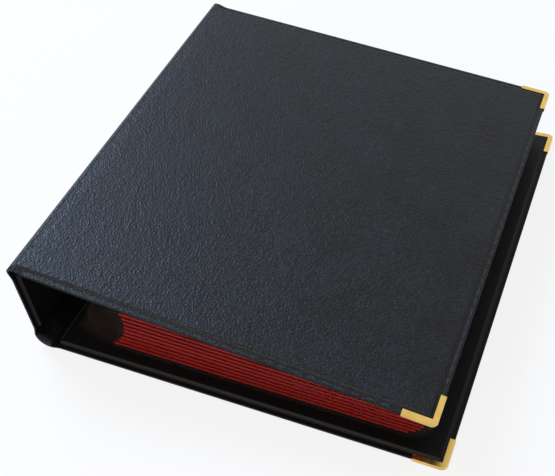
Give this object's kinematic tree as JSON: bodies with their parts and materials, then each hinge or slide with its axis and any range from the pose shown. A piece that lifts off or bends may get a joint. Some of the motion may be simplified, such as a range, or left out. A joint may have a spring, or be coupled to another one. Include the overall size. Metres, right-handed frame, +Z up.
{
  "type": "coin album",
  "caption": "Closed ring-binder coin album with padded leatherette covers, brass corners, a four-ring mechanism on the spine and clear pocket leaves holding red cards.",
  "frame": {"origin": "centre of the back cover underside, on the surface the album lies on", "axes": "+X from the spine to the fore edge, +Y along the spine, +Z up through the closed album"},
  "size_m": [0.2456, 0.271, 0.0628],
  "materials": {
    "leatherette": "fine-grained black PVC leatherette, semi-gloss",
    "lining": "smooth black PVC lining film, satin",
    "greyboard": "uncoated grey binder board",
    "foam": "thin padding foam",
    "brass": "polished brass-plated sheet",
    "nickel": "bright nickel plate",
    "zinc_steel": "zinc-plated sheet steel",
    "clear_film": "clear glossy PVC film",
    "red_card": "uncoated solid red card"
  },
  "bodies": {
    "back_cover": {"back_cover_skin": "leatherette", "back_board": "greyboard", "back_lining": "lining", "corner_back_front": "brass", "corner_back_rear": "brass"},
    "spine": {"spine_skin": "leatherette", "spine_board": "greyboard", "spine_lining": "lining", "back_hinge_strip": "leatherette", "front_hinge_strip": "leatherette", "rail_cover": "nickel", "rail_rivets": "nickel", "lever_pins": "nickel"},
    "front_cover": {"front_cover_skin": "leatherette", "front_foam_pad": "foam", "front_board": "greyboard", "front_lining": "lining", "corner_cover_front": "brass", "corner_cover_rear": "brass"},
    "rings_upper": {"toggle_upper": "zinc_steel", "ring_upper_1": "nickel", "ring_upper_2": "nickel", "ring_upper_3": "nickel", "ring_upper_4": "nickel"},
    "rings_lower": {"toggle_lower": "zinc_steel", "ring_lower_1": "nickel", "ring_lower_2": "nickel", "ring_lower_3": "nickel", "ring_lower_4": "nickel"},
    "lever_front": {"lever_front": "nickel"},
    "lever_rear": {"lever_rear": "nickel"},
    "leaf_01": {"pocket_sheet_01": "clear_film", "red_card_01": "red_card"},
    "leaf_02": {"pocket_sheet_02": "clear_film", "red_card_02": "red_card"},
    "leaf_03": {"pocket_sheet_03": "clear_film", "red_card_03": "red_card"},
    "leaf_04": {"pocket_sheet_04": "clear_film", "red_card_04": "red_card"},
    "leaf_05": {"pocket_sheet_05": "clear_film", "red_card_05": "red_card"},
    "leaf_06": {"pocket_sheet_06": "clear_film", "red_card_06": "red_card"},
    "leaf_07": {"pocket_sheet_07": "clear_film", "red_card_07": "red_card"},
    "leaf_08": {"pocket_sheet_08": "clear_film", "red_card_08": "red_card"},
    "leaf_09": {"pocket_sheet_09": "clear_film", "red_card_09": "red_card"},
    "leaf_10": {"pocket_sheet_10": "clear_film", "red_card_10": "red_card"}
  },
  "joints": [
    {"name": "spine_fold", "type": "hinge", "parent": "back_cover", "child": "spine", "pos_m": [-0.11872, 0, 0.0014], "axis": [0, -1, 0], "range_deg": [0, 85]},
    {"name": "cover_open", "type": "hinge", "parent": "spine", "child": "front_cover", "pos_m": [-0.12388, 0, 0.0616], "axis": [0, -1, 0], "range_deg": [0, 101]},
    {"name": "rings_open", "type": "hinge", "parent": "spine", "child": "rings_upper", "pos_m": [-0.11597, 0, 0.02323], "axis": [0, -1, 0], "range_deg": [0, 5]},
    {"name": "rings_lower_swing", "type": "hinge", "parent": "spine", "child": "rings_lower", "pos_m": [-0.11597, 0, 0.02323], "axis": [0, -1, 0], "range_deg": [-5, 0]},
    {"name": "lever_front_tilt", "type": "hinge", "parent": "spine", "child": "lever_front", "pos_m": [-0.11418, -0.105, 0.02338], "axis": [0.0854, 0, -0.9963], "range_deg": [0, 25]},
    {"name": "lever_rear_tilt", "type": "hinge", "parent": "spine", "child": "lever_rear", "pos_m": [-0.11418, 0.105, 0.02338], "axis": [-0.0854, 0, 0.9963], "range_deg": [0, 25]},
    {"name": "leaf_turn_01", "type": "hinge", "parent": "spine", "child": "leaf_01", "pos_m": [-0.09774, 0, 0.02479], "axis": [0, -1, 0], "range_deg": [0, 8.74]},
    {"name": "leaf_turn_02", "type": "hinge", "parent": "spine", "child": "leaf_02", "pos_m": [-0.09774, 0, 0.02479], "axis": [0, -1, 0], "range_deg": [0, 17.42]},
    {"name": "leaf_turn_03", "type": "hinge", "parent": "spine", "child": "leaf_03", "pos_m": [-0.09774, 0, 0.02479], "axis": [0, -1, 0], "range_deg": [0, 26.11]},
    {"name": "leaf_turn_04", "type": "hinge", "parent": "spine", "child": "leaf_04", "pos_m": [-0.09774, 0, 0.02479], "axis": [0, -1, 0], "range_deg": [0, 34.79]},
    {"name": "leaf_turn_05", "type": "hinge", "parent": "spine", "child": "leaf_05", "pos_m": [-0.09774, 0, 0.02479], "axis": [0, -1, 0], "range_deg": [0, 43.48]},
    {"name": "leaf_turn_06", "type": "hinge", "parent": "spine", "child": "leaf_06", "pos_m": [-0.09774, 0, 0.02479], "axis": [0, -1, 0], "range_deg": [0, 52.17]},
    {"name": "leaf_turn_07", "type": "hinge", "parent": "spine", "child": "leaf_07", "pos_m": [-0.09774, 0, 0.02479], "axis": [0, -1, 0], "range_deg": [0, 60.85]},
    {"name": "leaf_turn_08", "type": "hinge", "parent": "spine", "child": "leaf_08", "pos_m": [-0.09774, 0, 0.02479], "axis": [0, -1, 0], "range_deg": [0, 69.54]},
    {"name": "leaf_turn_09", "type": "hinge", "parent": "spine", "child": "leaf_09", "pos_m": [-0.09774, 0, 0.02479], "axis": [0, -1, 0], "range_deg": [0, 78.22]},
    {"name": "leaf_turn_10", "type": "hinge", "parent": "spine", "child": "leaf_10", "pos_m": [-0.09774, 0, 0.02479], "axis": [0, -1, 0], "range_deg": [0, 86.91]}
  ],
  "couplings": [
    {"joint": "rings_lower_swing", "follows": "rings_open", "ratio": -1},
    {"joint": "lever_front_tilt", "follows": "rings_open", "ratio": 5},
    {"joint": "lever_rear_tilt", "follows": "rings_open", "ratio": 5},
    {"joint": "leaf_turn_01", "follows": "cover_open", "ratio": 0.086},
    {"joint": "leaf_turn_02", "follows": "cover_open", "ratio": 0.172},
    {"joint": "leaf_turn_03", "follows": "cover_open", "ratio": 0.258},
    {"joint": "leaf_turn_04", "follows": "cover_open", "ratio": 0.344},
    {"joint": "leaf_turn_05", "follows": "cover_open", "ratio": 0.43},
    {"joint": "leaf_turn_06", "follows": "cover_open", "ratio": 0.516},
    {"joint": "leaf_turn_07", "follows": "cover_open", "ratio": 0.602},
    {"joint": "leaf_turn_08", "follows": "cover_open", "ratio": 0.688},
    {"joint": "leaf_turn_09", "follows": "cover_open", "ratio": 0.774},
    {"joint": "leaf_turn_10", "follows": "cover_open", "ratio": 0.86}
  ]
}
